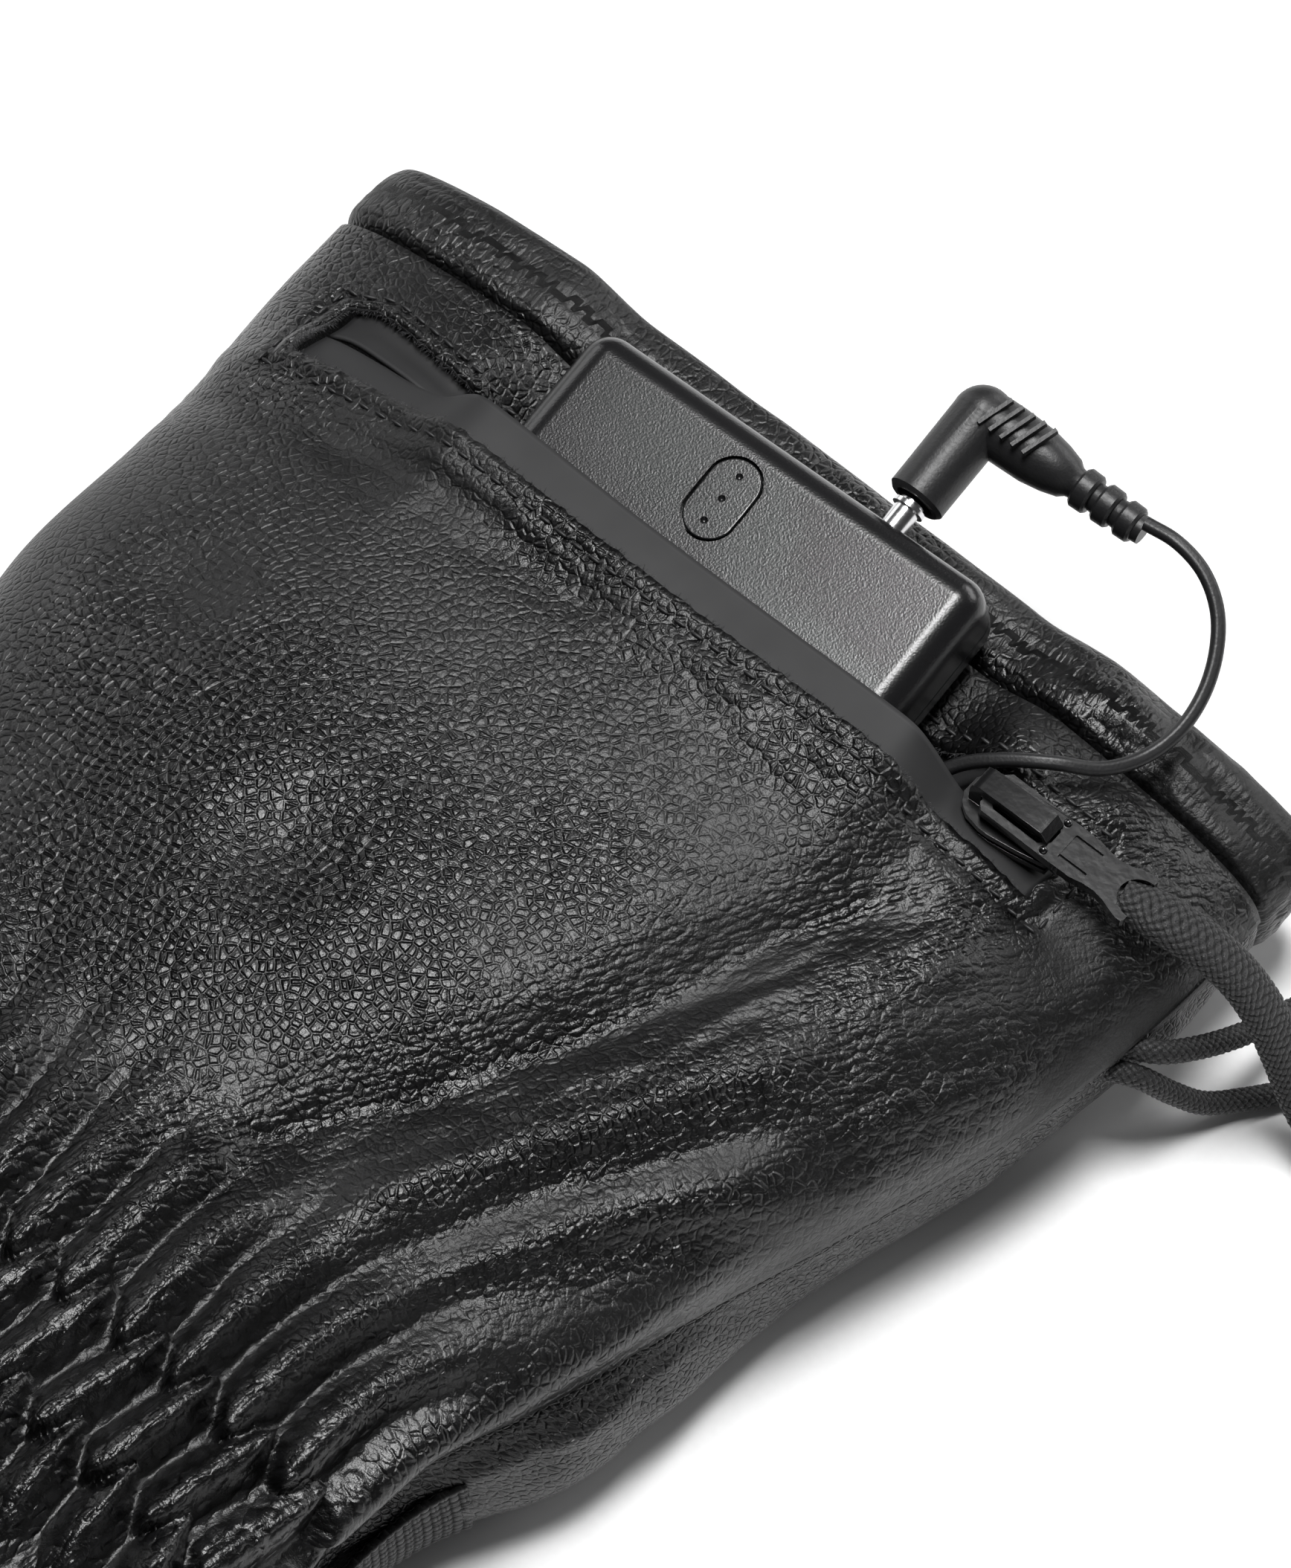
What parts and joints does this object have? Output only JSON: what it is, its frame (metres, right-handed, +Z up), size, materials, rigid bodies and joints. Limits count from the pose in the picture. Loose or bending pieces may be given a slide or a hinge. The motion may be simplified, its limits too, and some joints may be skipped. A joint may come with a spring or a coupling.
{
  "type": "battery heated gauntlet glove",
  "caption": "Black leather gauntlet glove lying palm down, its wrist gathered by elastic stitching, with a slim battery and its lead in an open zip pocket on the cuff.",
  "frame": {"origin": "on the floor below the middle of the glove's box, cords left out", "axes": "+Z up from the floor, -Y towards the finger tips, +Y out of the cuff's mouth, -X towards the thumb"},
  "size_m": [0.2186, 0.3687, 0.047],
  "materials": {
    "leather": "grained black goat leather, satin with bright grain",
    "under_leather": "finer, duller black leather of the underside",
    "tape_film": "smooth dark grey coated zip tape",
    "bag_cloth": "plain black pocket cloth",
    "battery_plastic": "black moulded plastic with a fine spark texture",
    "cable_rubber": "black moulded rubber",
    "nickel": "bright nickel plate",
    "lacquer": "gloss black lacquered zinc",
    "braid": "black braided cord",
    "webbing": "black woven webbing"
  },
  "bodies": {
    "glove": {"cuff_back": "leather", "cuff_palm": "under_leather", "cuff_hem": "leather", "hand_back": "leather", "hand_palm": "under_leather", "fourchette_1": "leather", "fourchette_2": "leather", "fourchette_3": "leather", "thumb": "leather", "battery": "battery_plastic", "plug_barrel": "nickel", "plug": "cable_rubber", "pocket_bag": "bag_cloth", "zip_tape_lower": "tape_film", "zip_tape_upper": "tape_film", "zip_slider": "lacquer", "zip_puller": "lacquer", "battery_cable": "cable_rubber", "side_cord": "braid", "zip_cord": "braid", "zip_cord_end": "cable_rubber", "wrist_strap": "webbing"},
    "button": {"battery_button": "battery_plastic"}
  },
  "joints": [
    {"name": "button_press", "type": "slide", "parent": "glove", "child": "button", "axis": [0, 0.2334, -0.9724], "range_m": [0, 0.0005], "stiffness_N_per_m": 2000}
  ]
}
